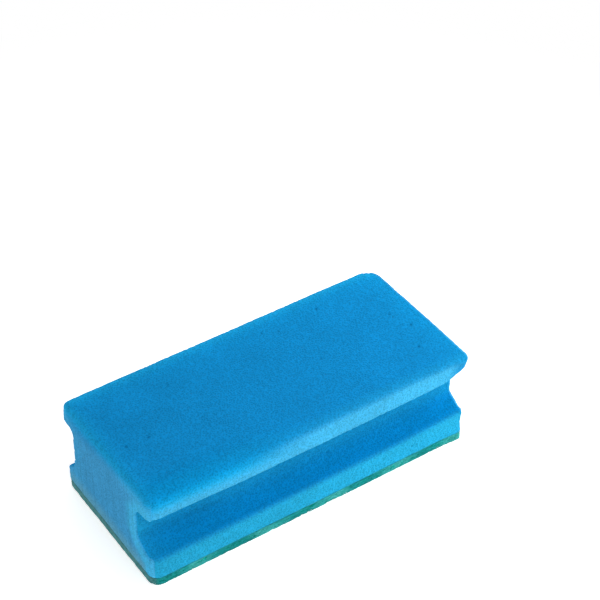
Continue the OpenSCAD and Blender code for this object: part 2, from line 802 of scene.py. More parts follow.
@dataclass
class FoamTints:
    """How much of each tint every point of the foam takes: painted light and shade by where
    it lies on the block, and a greyer foot at the near end.

    A Pair gives the places, heights or depths between which a share rises from 0 to 1.

    Attributes:
        block: The block.
        places: Its points in millimetres, while its edges are still sharp.
        from_side: Each point's distance from the contour.
        end_skin: Depths under a cut end, from the inside out.
        roll: How far down the near end its top edge is rolled over, at the front.
        back_roll: How much further down it is at the back.
        roll_across: Places along Y between which that changes.
        roll_fade: How many times the roll's own height the cut end's painted light takes to come in.
        groove_skin: Depth to which the groove's painted shade reaches, and how far over its roof.
        below_lip: Depths under the upper lip's face; the painted shade sets in well under it.
        above_lip: Depths over the lower lip, where it sets in sooner.
        crisp_run: Places along X between which the front upper lip goes from worn to crisp.
        crisp_light: Painted light on the crisp lip, by the way up from its lower edge.
        worn_light: Painted light on the worn lip, which is painted less far up.
        worn_glow: The painted brighter blue over the worn lip's painted light.
        halo: A faint painted light over the crisp lip's painted light.
        tip_run: Places along X between which the front tip of the upper lip has less painted light.
        tip_loss: How much of the painted light it loses.
        foot: The lower lip's painted light, by the depth under its face.
        roll_light: Painted light where the wiping face rolls over to the near end.
        roll_depths: Depths under the wiping face over which that comes in.
        rim: Painted light on the rim of a cut end.
        front_rim: How much more of it the rim takes at the front.
        rim_across: Places along -Y between which that comes in.
        rim_skin: Distances from the contour over which it comes in.
        greyed_height: Height up to which the near end is greyer, most at its foot.
        floor_light: Painted light on the groove's floor, for light from the lip over it.
        floor_run: Heights between which that comes in.
        mouth_light: Painted light on the groove's floor, for light from its near mouth.
        most_light: The most that both give.
        back_glow: Painted light on the wiping face along its back edge.
        far_glow: The same along the far end.
        face_skin: Depth of the wiping face's skin, which shows both.
        near_glow: Painted light on the near end's rolled edge.
        near_depths: Depths under the wiping face over which that comes in.
        deep: Painted deeper shade of the wiping face along its front edge, at the near end.
        deep_run: Places along X between which that sets in, from the far end on.
        deep_across: Distances from the front edge between which it does.
    """

    block: FoamBlock
    places: np.ndarray
    from_side: np.ndarray
    end_skin: Pair = (0.6, 0.15)
    roll: float = 2.9
    back_roll: float = 1.7
    roll_across: Pair = (-10.0, 16.0)
    roll_fade: float = 2.4
    groove_skin: float = 1.0
    below_lip: Pair = (1.2, 2.4)
    above_lip: Pair = (0.1, 2.2)
    crisp_run: Pair = (-35.0, 5.0)
    crisp_light: Fade = Fade((6.6, 7.8, 8.7, 9.8, 11.0), (1.0, 0.58, 0.24, 0.06, 0.0))
    worn_light: Fade = Fade((2.4, 3.9, 5.0, 6.0, 7.5), (1.0, 0.55, 0.28, 0.1, 0.0))
    worn_glow: Fade = Fade(
        (2.0, 3.9, 5.9, 7.9, 9.9, 11.4, 13.5, 18.0), (1.0, 0.88, 0.6, 0.45, 0.25, 0.17, 0.13, 0.0)
    )
    halo: Fade = Fade((7.0, 9.2, 11.0, 14.0), (0.0, 0.3, 0.2, 0.0))
    tip_run: Pair = (61.0, 67.0)
    tip_loss: float = 0.7
    foot: Glow = Glow(1.0, 0.9)
    roll_light: Glow = Glow(0.35, 1.5)
    roll_depths: Pair = (3.0, 0.5)
    rim: float = 0.1
    front_rim: float = 0.8
    rim_across: Pair = (4.0, 26.0)
    rim_skin: Pair = (8.0, 3.0)
    greyed_height: float = 10.0
    floor_light: float = 0.34
    floor_run: Pair = (13.5, 23.0)
    mouth_light: Glow = Glow(0.38, 5.0)
    most_light: float = 0.6
    back_glow: Glow = Glow(0.3, 4.0)
    far_glow: Glow = Glow(0.14, 6.0)
    face_skin: float = 2.0
    near_glow: Glow = Glow(0.26, 2.5)
    near_depths: Pair = (7.0, 2.5)
    deep: float = 0.95
    deep_run: Pair = (4.0, -66.0)
    deep_across: Pair = (17.0, 4.0)

    def cut_ends(self) -> np.ndarray:
        """Finds the cut ends' painted light; the near one starts under its rolled-over top edge.

        Returns:
            The share at each point.
        """
        x, y, z = self.places.T
        skin = smooth_step(*self.end_skin, self.block.outline.length / 2 - np.abs(x))
        roll = self.roll + self.back_roll * smooth_step(*self.roll_across, y)
        under = smooth_step(0.0, self.roll_fade, (self.block.top - z) / roll)
        return skin * np.where(x < 0, under, 1.0)

    def grooves(self) -> np.ndarray:
        """Finds the walls of the two grooves, which take painted shade.

        Returns:
            The share at each point.
        """
        _, y, z = self.places.T
        block = self.block
        from_lip = block.outline.width / 2 - np.abs(y)
        below, above = (smooth_step(*p, from_lip) for p in (self.below_lip, self.above_lip))
        low, high = block.groove_start - block.lip_radius, block.groove_end + self.groove_skin
        walls = (self.from_side < self.groove_skin) & (z > low) & (z < high)
        return np.where(z > block.groove_middle, below, above) * walls

    def painted_face_glow(self) -> np.ndarray:
        """Paints light on the edges of the wiping face that stand free.

        Returns:
            The share at each point.
        """
        x, y, z = self.places.T
        from_end, from_lip = self.block.outline.corner[:, None] - np.abs([x, y])
        depth = self.block.top - z
        fringe = self.back_glow.over(np.abs(from_lip)) * (y > 0)
        fringe += self.far_glow.over(from_end) * (x > 0)
        near = self.near_glow.over(from_end) * smooth_step(*self.near_depths, depth) * (x < 0)
        return np.maximum(fringe * (depth < self.face_skin), near)

    def shares(self) -> dict[str, np.ndarray]:
        """Works out all the shares.

        Returns:
            The share at each point, by the name of its attribute.
        """
        x, y, z = self.places.T
        block = self.block
        from_end, from_lip = block.outline.corner[:, None] - np.abs([x, y])
        # The cut ends, which take painted light.
        ends, near, front = self.cut_ends(), x < 0, y < 0
        # Painted shade on the groove walls.
        groove = self.grooves() * (1.0 - ends)
        upper = (z > block.groove_middle) * (1.0 - groove) * (1.0 - ends)
        lower = (z <= block.groove_middle) * (1.0 - groove) * (1.0 - ends)
        # The way up the upper lip from its lower edge, and on over the wiping face.
        climb = z - block.groove_end + from_lip
        # Painted light on the upper lip's face, with less of it at the front tip.
        crisp = np.maximum(smooth_step(*self.crisp_run, x), ~front)
        light = crisp * self.crisp_light.over(climb) + (1.0 - crisp) * self.worn_light.over(climb)
        light *= (1.0 - self.tip_loss * smooth_step(*self.tip_run, x) * front) * upper
        # Painted light on the rims of the cut ends.
        rim = self.rim + self.front_rim * smooth_step(*self.rim_across, -y)
        rim *= smooth_step(*self.rim_skin, np.minimum(self.from_side, block.top - z)) * ends
        # Painted light over the worn lip and along the free edges of the wiping face.
        glow = np.maximum((1.0 - crisp) * self.worn_glow.over(climb), self.painted_face_glow())
        # Painted light on the near end's rolled edge, the groove's floor, the lower lip and over the
        # crisp lip.
        rolled = self.roll_light.over(from_end) * smooth_step(*self.roll_depths, block.top - z)
        lit = self.floor_light * smooth_step(*self.floor_run, z)
        lit += self.mouth_light.over(from_end) * near
        pale = (
            self.foot.over(np.maximum(from_lip, 0.0)) * lower,
            crisp * self.halo.over(climb) * upper,
            rolled * near,
            np.minimum(lit, self.most_light) * groove,
        )
        # Painted shade along the front edge of the wiping face, towards the near end.
        deep = self.deep * smooth_step(*self.deep_run, x) * smooth_step(*self.deep_across, from_lip)
        deep *= front * (z > block.groove_middle) * (1.0 - ends)
        # Greyer towards the bottom of the near end.
        greyed_foot = smooth_step(block.bottom + self.greyed_height, block.bottom, z) * ends * near
        return {
            "painted_shade_share": np.maximum(groove, deep),
            "end_painted_light_share": ends,
            "greyed_foot_share": greyed_foot,
            "painted_light_share": np.max(pale, axis=0),
            "painted_glow_share": glow * upper,
            "painted_edge_light_share": np.maximum(light, rim),
        }


@dataclass(frozen=True)
class LipShift:
    """One move of a lip's edge, as wear or the foam's spring has left it.

    Attributes:
        axis: The way it has moved: 1 across the block, 2 upwards.
        shift: How far it has moved.
        height: The height where it has moved most.
        spread: How far above and below that height the move reaches.
        run: Places along X between which the move sets in.
        side: -1 for the front of the block, 1 for its back.
        depth: Depth under the lip's face at which the move has fallen to 1/e, if it does.
    """

    axis: int
    shift: float
    height: float
    spread: float
    run: Pair
    side: float
    depth: float = math.inf

    def share(self, places: np.ndarray, half_width: float) -> np.ndarray:
        """How much of the shift each place takes.

        Args:
            places: Points in millimetres.
            half_width: Half of the block's width.

        Returns:
            The share at each point.
        """
        x, y, z = places.T
        share = smooth_step(*self.run, x) * (y * self.side > 0)
        share *= np.exp((np.abs(y) - half_width) / self.depth)
        return share * bell(z, self.height, self.spread)


@dataclass
class FoamBlock:
    """The foam block with a finger groove along each long side.

    Attributes:
        outline: The outline that it shares with the pad.
        bottom: Height of the glue line under it.
        top: Height of its wiping face.
        groove_depth: Depth of each groove below the lips.
        lower_lip: Height of the lower lip.
        upper_lip: Height of the upper lip.
        lower_cove: How far the cove under the groove's floor cuts across its corner.
        upper_cove: How far the cove over the floor does.
        cove_radius: Radius of the coves.
        lip_radius: Radius where the lower lip rolls over into the groove.
        upper_lip_radius: Radius where the upper lip turns under.
        face_radius: Radius of the wiping face's back edge.
        front_radius: Radius of its front edge, where that is crisp.
        soft_radius: Radius of its front edge at the worn end.
        end_radius: Radius of the wiping face's edge with the near end.
        front_lean: How far the front groove has crept towards the back at the near end.
        back_lean: How far the back groove has.
        tip_radius: How far the front tip of the upper lip is worn round at the far end.
        tip_reach: The height over which that rounding fades out.
        tip_flare: How far the edge over that tip stands out.
        lip_flare: How far the lower lip stands out at the far end.
        lip_rise: How far it rises there.
        lip_drop: How far it is worn down at the near end's back corner.
        lip_sag: How far the front upper lip's lower edge hangs down.
        cell: Spacing of the open cells that are modelled.
        cell_depth: How deep they are.
        cell_wall: Distances from a cell's centre between which its wall drops.
        void: Spacing of the larger voids.
        void_radius: Radius of the largest void.
        void_depth: Depth of a void.
        void_wall: Shares of a void's radius between which its wall drops.
        void_noise: Values of a slow noise between which the voids grow from nothing.
        fray: Height of the fine unevenness between the cells.
        fray_size: Size of it.
        proud: How far the walls between the cells stand out, on average.
        billow: How far that drifts.
        billow_size: The distance over which it does.
        grid: Width of a face of the mesh.
        finish: The foam's finish.
    """

    outline: CutOutline
    bottom: float
    top: float
    groove_depth: float = 8.6
    lower_lip: float = 9.4
    upper_lip: float = 9.4
    lower_cove: float = 4.6
    upper_cove: float = 2.6
    cove_radius: float = 7.0
    lip_radius: float = 1.8
    upper_lip_radius: float = 0.8
    face_radius: float = 0.6
    front_radius: float = 1.2
    soft_radius: float = 5.0
    end_radius: float = 2.2
    front_lean: float = 2.7
    back_lean: float = 2.4
    tip_radius: float = 12.0
    tip_reach: float = 3.2
    tip_flare: float = 0.8
    lip_flare: float = 1.0
    lip_rise: float = 2.2
    lip_drop: float = 2.2
    lip_sag: float = 0.7
    cell: float = 1.6
    cell_depth: float = 0.18
    cell_wall: Pair = (0.85, 0.1)
    void: float = 5.0
    void_radius: float = 0.85
    void_depth: float = 0.6
    void_wall: Pair = (1.0, 0.35)
    void_noise: Pair = (-0.1, 0.5)
    fray: float = 0.06
    fray_size: float = 2.6
    proud: float = 0.25
    billow: float = 0.18
    billow_size: float = 28.0
    grid: float = 0.53
    finish: FlexiblePurFoam = field(default_factory=FlexiblePurFoam)

    @property
    def groove_start(self) -> float:
        """Height at which the groove starts."""
        return self.bottom + self.lower_lip

    @property
    def groove_end(self) -> float:
        """Height at which the groove ends."""
        return self.top - self.upper_lip

    @property
    def groove_middle(self) -> float:
        """Height of the middle of the groove."""
        return (self.groove_start + self.groove_end) / 2

    def half_section(self) -> list[tuple[float, float, float]]:
        """The sharp corners of one side's contour, from the glue line up.

        Returns:
            For each corner its distance from the middle, its height and its fillet radius.
        """
        lip = self.outline.width / 2
        floor = lip - self.groove_depth
        start, end = self.groove_start, self.groove_end
        return [
            (lip, self.bottom, 0.0),
            (lip, start, self.lip_radius),
            (floor + self.lower_cove, start, self.cove_radius),
            (floor, start + self.lower_cove, self.cove_radius),
            (floor, end - self.upper_cove, self.cove_radius),
            (floor + self.upper_cove, end, self.cove_radius),
            (lip, end, self.upper_lip_radius),
            (lip, self.top, 0.0),
        ]

    def blank(self) -> bmesh.types.BMesh:
        """Extrudes the contour along X and rounds its long edges.

        Returns:
            The blank, in metres.
        """
        bm = bmesh.new()
        start = -self.outline.length / 2
        right = self.half_section()
        loop = [(y, z) for y, z, _ in right] + [(-y, z) for y, z, _ in reversed(right)]
        corners = [bm.verts.new(Vector((start, y, z)) * MM) for y, z in loop]
        section = bm.faces.new(corners)
        drawn = bmesh.ops.extrude_face_region(bm, geom=[section], use_keep_orig=True)
        far = [v for v in drawn["geom"] if isinstance(v, bmesh.types.BMVert)]
        bmesh.ops.translate(bm, verts=far, vec=Vector((self.outline.length * MM, 0, 0)))
        bmesh.ops.recalc_face_normals(bm, faces=bm.faces)
        self.round_contour(bm, right)
        return bm

    @staticmethod
    def round_contour(bm: bmesh.types.BMesh, corners: Sequence[tuple[float, float, float]]) -> None:
        """Gives each long edge of the contour its own fillet, as far as its sides allow.

        Args:
            bm: The sharp block.
            corners: The corners of one side, as half_section gives them.
        """
        for before, at, after in zip(corners, corners[1:], corners[2:]):
            into = Vector(at[:2]) - Vector(before[:2])
            out = Vector(after[:2]) - Vector(at[:2])
            # Two fillets never use up the whole of the side between them.
            most = 0.48 * min(into.length, out.length)
            reach = min(at[2] * math.tan(into.angle(out) / 2), most)
            edges = [
                e
                for e in bm.edges
                if all(
                    math.isclose(abs(v.co.y), at[0] * MM, abs_tol=1e-6)
                    and math.isclose(v.co.z, at[1] * MM, abs_tol=1e-6)
                    for v in e.verts
                )
                and abs(e.verts[0].co.x - e.verts[1].co.x) > MM
            ]
            bmesh.ops.bevel(
                bm,
                geom=edges,
                affect="EDGES",
                offset=reach * MM,
                offset_type="OFFSET",
                segments=8,
                profile=0.5,
                material=-1,
            )

    def merge_glued_face(self, mesh: bpy.types.Mesh) -> None:
        """Merges most faces of the flat face that the glue hides.

        Args:
            mesh: The even mesh.
        """
        bm = bmesh.new()
        bm.from_mesh(mesh)
        glued = [v for v in bm.verts if all(f.normal.z < -0.99 for f in v.link_faces)]
        bmesh.ops.unsubdivide(bm, verts=glued, iterations=6)
        bm.to_mesh(mesh)
        bm.free()

    def lay_flat(
        self, mesh: bpy.types.Mesh, places: np.ndarray, rolled: np.ndarray, length: float
    ) -> None:
        """Unrolls the block for its bake map: one sheet over both sides and the wiping face.

        Args:
            mesh: The even mesh.
            places: Its vertices in millimetres.
            rolled: The way from the foot of the nearer side over its contour to each vertex.
            length: The length of one side's contour.
        """
        x, y, _ = places.T
        whole = 2 * length + self.outline.width
        unrolled = np.where(y > 0, rolled, whole - rolled)
        normals = read_vectors(mesh.polygons, "normal")
        middles = read_vectors(mesh.polygons, "center") / MM
        at_end = np.abs(normals[:, 0]) > LEVEL
        glued = ~at_end & (normals[:, 2] < -LEVEL) & (middles[:, 2] < self.bottom + 1.0)
        lay_out(
            mesh,
            [
                Patch(~at_end & ~glued, np.stack([x, unrolled], 1)),
                Patch(at_end & (middles[:, 0] < 0), places[:, 1:]),
                Patch(at_end & (middles[:, 0] > 0), places[:, 1:]),
                Patch(glued, places[:, :2], scale=GLUED_SCALE),
            ],
        )

    def soften_face_edges(self, places: np.ndarray) -> np.ndarray:
        """Rounds the edges of the wiping face, the front one more towards its worn end.

        Args:
            places: Points in millimetres.

        Returns:
            The moved points.
        """
        x, y, z = places.T
        half_length, half_width = self.outline.corner
        along = smooth_step(-half_length, half_length * 2 / 3, x)
        front = self.soft_radius + (self.front_radius - self.soft_radius) * along
        radius = np.where(y < 0, front, self.face_radius)
        across, height = rounded_off(
            np.stack([np.abs(y), z], 1), np.array([half_width, self.top]), radius
        ).T
        back, height = rounded_off(
            np.stack([-x, height], 1), np.array([half_length, self.top]), self.end_radius
        ).T
        return np.stack([-back, across * np.sign(y), height], 1)

    def bend_grooves(self, places: np.ndarray) -> np.ndarray:
        """Gives the grooves the small faults that the contour knife and wear have left.

        Args:
            places: Points in millimetres.

        Returns:
            The moved points.
        """
        moved = places.copy()
        x, y, z = places.T
        start, end = self.groove_start, self.groove_end
        half_length, half_width = self.outline.corner
        # How much of the lean each height takes: least in the lips, most in the floor.
        heights = (self.bottom, start - 4.0, start, start + 3.0, start + 5.0)
        heights += (end - 4.0, end + 0.5, end + 4.0, self.top)
        waist = Fade(heights, (0.0, 0.05, 0.15, 0.75, 1.0, 1.0, 0.35, 0.35, 0.0)).over(z)
        lean = np.where(y > 0, self.back_lean, self.front_lean)
        moved[:, 1] += lean * waist * self.outline.near_share(x)
        far = (40.0, half_length)
        # Each move: its axis, shift, height, spread, run along X, side and depth.
        shifts = (
            LipShift(1, -self.lip_flare, start + 0.8, 2.4, far, -1),
            LipShift(1, -self.tip_flare, self.top - 0.7, 2.5, far, -1),
            LipShift(2, self.lip_rise, start + 0.6, 4.0, (38.0, half_length), -1),
            LipShift(2, -self.lip_drop, start + 0.6, 4.0, (-50.0, -half_length), 1, 5.0),
            LipShift(2, -self.lip_sag, end + 0.5, 2.2, (half_length, 50.0), -1),
        )
        for move in shifts:
            moved[:, move.axis] += move.shift * move.share(places, half_width)
        radius = self.tip_radius * bell(z, end - 0.8, self.tip_reach)
        turn = np.array([1.0, -1.0])
        moved[:, :2] = rounded_off(moved[:, :2] * turn, self.outline.corner, radius) * turn
        return moved

    def open_cells(self, mesh: bpy.types.Mesh) -> None:
        """Sinks the cut cells into the surface, with a few larger voids and a slow drift.

        Args:
            mesh: The even mesh in its final outline.
        """
        places, normals = vertex_places(mesh), read_vectors(mesh.vertex_normals, "vector")
        cells = cell_depth(places, self.cell, 1.0) * self.cell
        to_void = cell_depth(places, self.void, 4.0) * self.void
        large = smooth_step(*self.void_noise, drift(places, self.void * 1.3, 9.0))
        voids = smooth_step(*self.void_wall, to_void / (self.void_radius * large + 0.01))
        depth = self.proud + self.billow * drift(places, self.billow_size, 3.0)
        depth += self.fray * drift(places, self.fray_size, 5.0)
        depth -= self.cell_depth * smooth_step(*self.cell_wall, cells)
        depth -= self.void_depth * voids
        depth *= smooth_step(0.0, 1.0, places[:, 2] - self.bottom)
        # The voids' share, which the material paints with shade.
        write_share(mesh, "void_painted_shade", voids)
        set_vertex_places(mesh, places + normals * depth[:, None])

    def build(self) -> bpy.types.Object:
        """Makes the block with its soft edges and open cells.

        Returns:
            The piece.
        """
        bm = self.blank()
        contour = Contour.read(bm)
        mesh = remeshed(bm, "foam_block_soft", self.grid)
        self.merge_glued_face(mesh)
        places = vertex_places(mesh)
        from_side, run = contour.nearest(places)
        # Shares of painted light and shade, and of a greyer foot, for the foam's material.
        for name, share in FoamTints(self, places, from_side).shares().items():
            write_share(mesh, name, share)
        self.lay_flat(mesh, places, run + from_side, contour.length)
        places = self.bend_grooves(self.soften_face_edges(places))
        set_vertex_places(mesh, self.outline.cut(places))
        self.open_cells(mesh)
        mesh.materials.append(self.finish.material())
        mesh.shade_smooth()
        piece = place_object("foam_block_soft", mesh)
        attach(piece, "root")
        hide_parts("foam_block")
        return piece


@dataclass(frozen=True)
class BondedFleece:
    """Finish of non-woven nylon fleece, needled, resin-bonded and coated with fine grit.

    The web is a tangle of stiff fibres with a dull shine. It has paler slanting bands, and
    painted shade darkens the gaps between the fibres and between their clumps.

    Attributes:
        name: The material's name.
        shade: Its colour between the bands.
        pale: Its colour in the bands.
        depth: How dark the painted shade in the gaps is, from 0 to 1.
        bump: Depth of the gaps, in millimetres. Fibres that are modelled have none.
        band_pitch: Distance from one pale band to the next, in millimetres.
        band_angle: Angle between X and the way across the bands, in degrees.
        band_start: Place of one dark band, across the bands from the middle, in millimetres.
        band_waver: How far a band strays, in radians of one pitch.
        clump: Size of the clumps of fibres, in millimetres.
        gap: Size of the web's gaps, in millimetres.
        roughness: Roughness of the resin.
    """

    name: str = "resin_bonded_nylon_fleece"
    shade: Shade = Shade.FLEECE
    pale: Shade = Shade.FLEECE_LIGHT
    depth: float = 0.85
    bump: float = 0.3
    band_pitch: float = 21.5
    band_angle: float = 44.0
    band_start: float = -4.35
    band_waver: float = 2.0
    clump: float = 5.5
    gap: float = 1.2
    roughness: float = 0.72

    def material(self) -> bpy.types.Material:
        """Builds the material.

        Returns:
            The material.
        """
        made, tree, place = bare_material(self.name)
        textures = ((self.clump, 3.0, 0.6), (self.gap, 4.0, 0.75))
        clumps, gaps = (
            add_node(
                tree,
                "ShaderNodeTexNoise",
                {"Scale": 1.0 / (size * MM), "Detail": detail, "Roughness": roughness},
                {"Vector": place},
            ).outputs["Fac"]
            for size, detail, roughness in textures
        )
        # Greyer at the pad's near end.
        greyer_end = add_node(tree, "ShaderNodeAttribute", {"attribute_name": "greyer_end_share"})
        colour = add_node(
            tree,
            "ShaderNodeMix",
            {"data_type": "RGBA", 7: Shade.FLEECE_GREYED.linear},
            {0: greyer_end.outputs["Fac"], 6: self.bands(tree, place)},
        ).outputs[2]
        # Painted shade in the gaps and between clumps. Each pattern: its socket, its values of no
        # depth and of full depth, and the most.
        depths = ((clumps, 0.58, 0.34, 0.6 * self.depth), (gaps, 0.55, 0.38, self.depth))
        for pattern, none, full, most in depths:
            share = add_node(
                tree,
                "ShaderNodeMapRange",
                {"From Min": none, "From Max": full, "To Max": most},
                {0: pattern},
            )
            colour = add_node(
                tree,
                "ShaderNodeMix",
                {"data_type": "RGBA", 7: Shade.FLEECE_PAINTED_SHADE.linear},
                {0: share.outputs[0], 6: colour},
            ).outputs[2]
        links = {"Base Color": colour}
        if self.bump > 0:
            links["Normal"] = add_node(
                tree, "ShaderNodeBump", {"Strength": 0.8, "Distance": self.bump * MM}, {"Height": gaps}
            ).outputs[0]
        shader = add_node(
            tree,
            "ShaderNodeBsdfPrincipled",
            {"Roughness": self.roughness, "Specular IOR Level": 0.06},
            links,
        )
        add_node(tree, "ShaderNodeOutputMaterial", links={"Surface": shader.outputs[0]})
        return made

    def bands(self, tree: bpy.types.NodeTree, place: bpy.types.NodeSocket) -> bpy.types.NodeSocket:
        """Lays the pale slanting bands over the fleece.

        Args:
            tree: The material's tree.
            place: The coordinates.

        Returns:
            The socket of the banded colour.
        """
        across = add_node(
            tree,
            "ShaderNodeMapping",
            {
                "Rotation": (0.0, 0.0, math.radians(-self.band_angle)),
                "Location": (-self.band_start * MM, 0.0, 0.0),
            },
            {"Vector": place},
        )
        # A wave texture of scale 1 has 20 radians to a unit of length.
        waves = add_node(
            tree,
            "ShaderNodeTexWave",
            {
                "bands_direction": "X",
                "Scale": math.tau / (20.0 * self.band_pitch * MM),
                "Distortion": self.band_waver,
                "Detail": 3.0,
                "Detail Scale": 9.0,
                "Detail Roughness": 0.65,
            },
            {"Vector": across.outputs[0]},
        )
        crest = add_node(
            tree, "ShaderNodeMapRange", {"From Min": 0.35, "From Max": 1.0}, {0: waves.outputs["Fac"]}
        )
        return add_node(
            tree,
            "ShaderNodeMix",
            {"data_type": "RGBA", 6: self.shade.linear, 7: self.pale.linear},
            {0: crest.outputs[0]},
        ).outputs[2]


@dataclass(frozen=True)
class FibreLayer:
    """A layer of bent fibres, each a thin tube with three sides.

    Attributes:
        name: The piece's name.
        count: How many fibres are drawn.
        rings: The fewest rings of a tube, and one more than the most.
        stray: How far a fibre bends or slopes, in radians, as a standard deviation.
        wave: How far it goes up and down.
        turn: How much of that wave there is from ring to ring, in radians.
        step: Distance between the rings.
        seed: Seed of the random draws.
        radius: Radius of a fibre. Real ones are about 0.05, too fine to show.
    """

    name: str
    count: int
    rings: tuple[int, int]
    stray: float
    wave: float
    turn: float
    step: float
    seed: int
    radius: float = 0.13

    @property
    def lowest(self) -> float:
        """The least height of a fibre's centre line."""
        return self.radius + 0.01

    def swing(self, phase: float, count: int) -> np.ndarray:
        """The wave of a fibre's rings, from -1 to 1."""
        return np.sin(phase + self.turn * np.arange(count))

    def tubes(self, lines: Sequence[np.ndarray]) -> bpy.types.Mesh:
        """Sweeps a triangle along each line.

        Args:
            lines: The fibres' centre lines, in millimetres.

        Returns:
            One mesh with all the fibres.
        """
        triangle = bpy.data.curves.new(self.name + "_section", "CURVE")
        triangle.dimensions = "2D"
        side = triangle.splines.new("POLY")
        side.points.add(2)
        side.use_cyclic_u = True
        for i, point in enumerate(side.points):
            turn = math.tau * i / 3
            x, y = (way * self.radius * MM for way in (math.cos(turn), math.sin(turn)))
            point.co = (x, y, 0.0, 1.0)
        section = bpy.data.objects.new(self.name + "_section", triangle)
        curve = bpy.data.curves.new(self.name + "_lines", "CURVE")
        curve.dimensions = "3D"
        curve.bevel_mode = "OBJECT"
        curve.bevel_object = section
        curve.use_fill_caps = True
        for line in lines:
            spline = curve.splines.new("POLY")
            spline.points.add(len(line) - 1)
            places = np.concatenate([line * MM, np.ones((len(line), 1))], 1)
            spline.points.foreach_set("co", places.ravel())
        holder = bpy.data.objects.new(self.name + "_lines", curve)
        for used in (holder, section):
            bpy.context.scene.collection.objects.link(used)
        depsgraph = bpy.context.evaluated_depsgraph_get()
        mesh = bpy.data.meshes.new_from_object(holder.evaluated_get(depsgraph))
        mesh.name = self.name
        for used in (holder, section):
            bpy.data.objects.remove(used)
        for used in (curve, triangle):
            bpy.data.curves.remove(used)
        return mesh


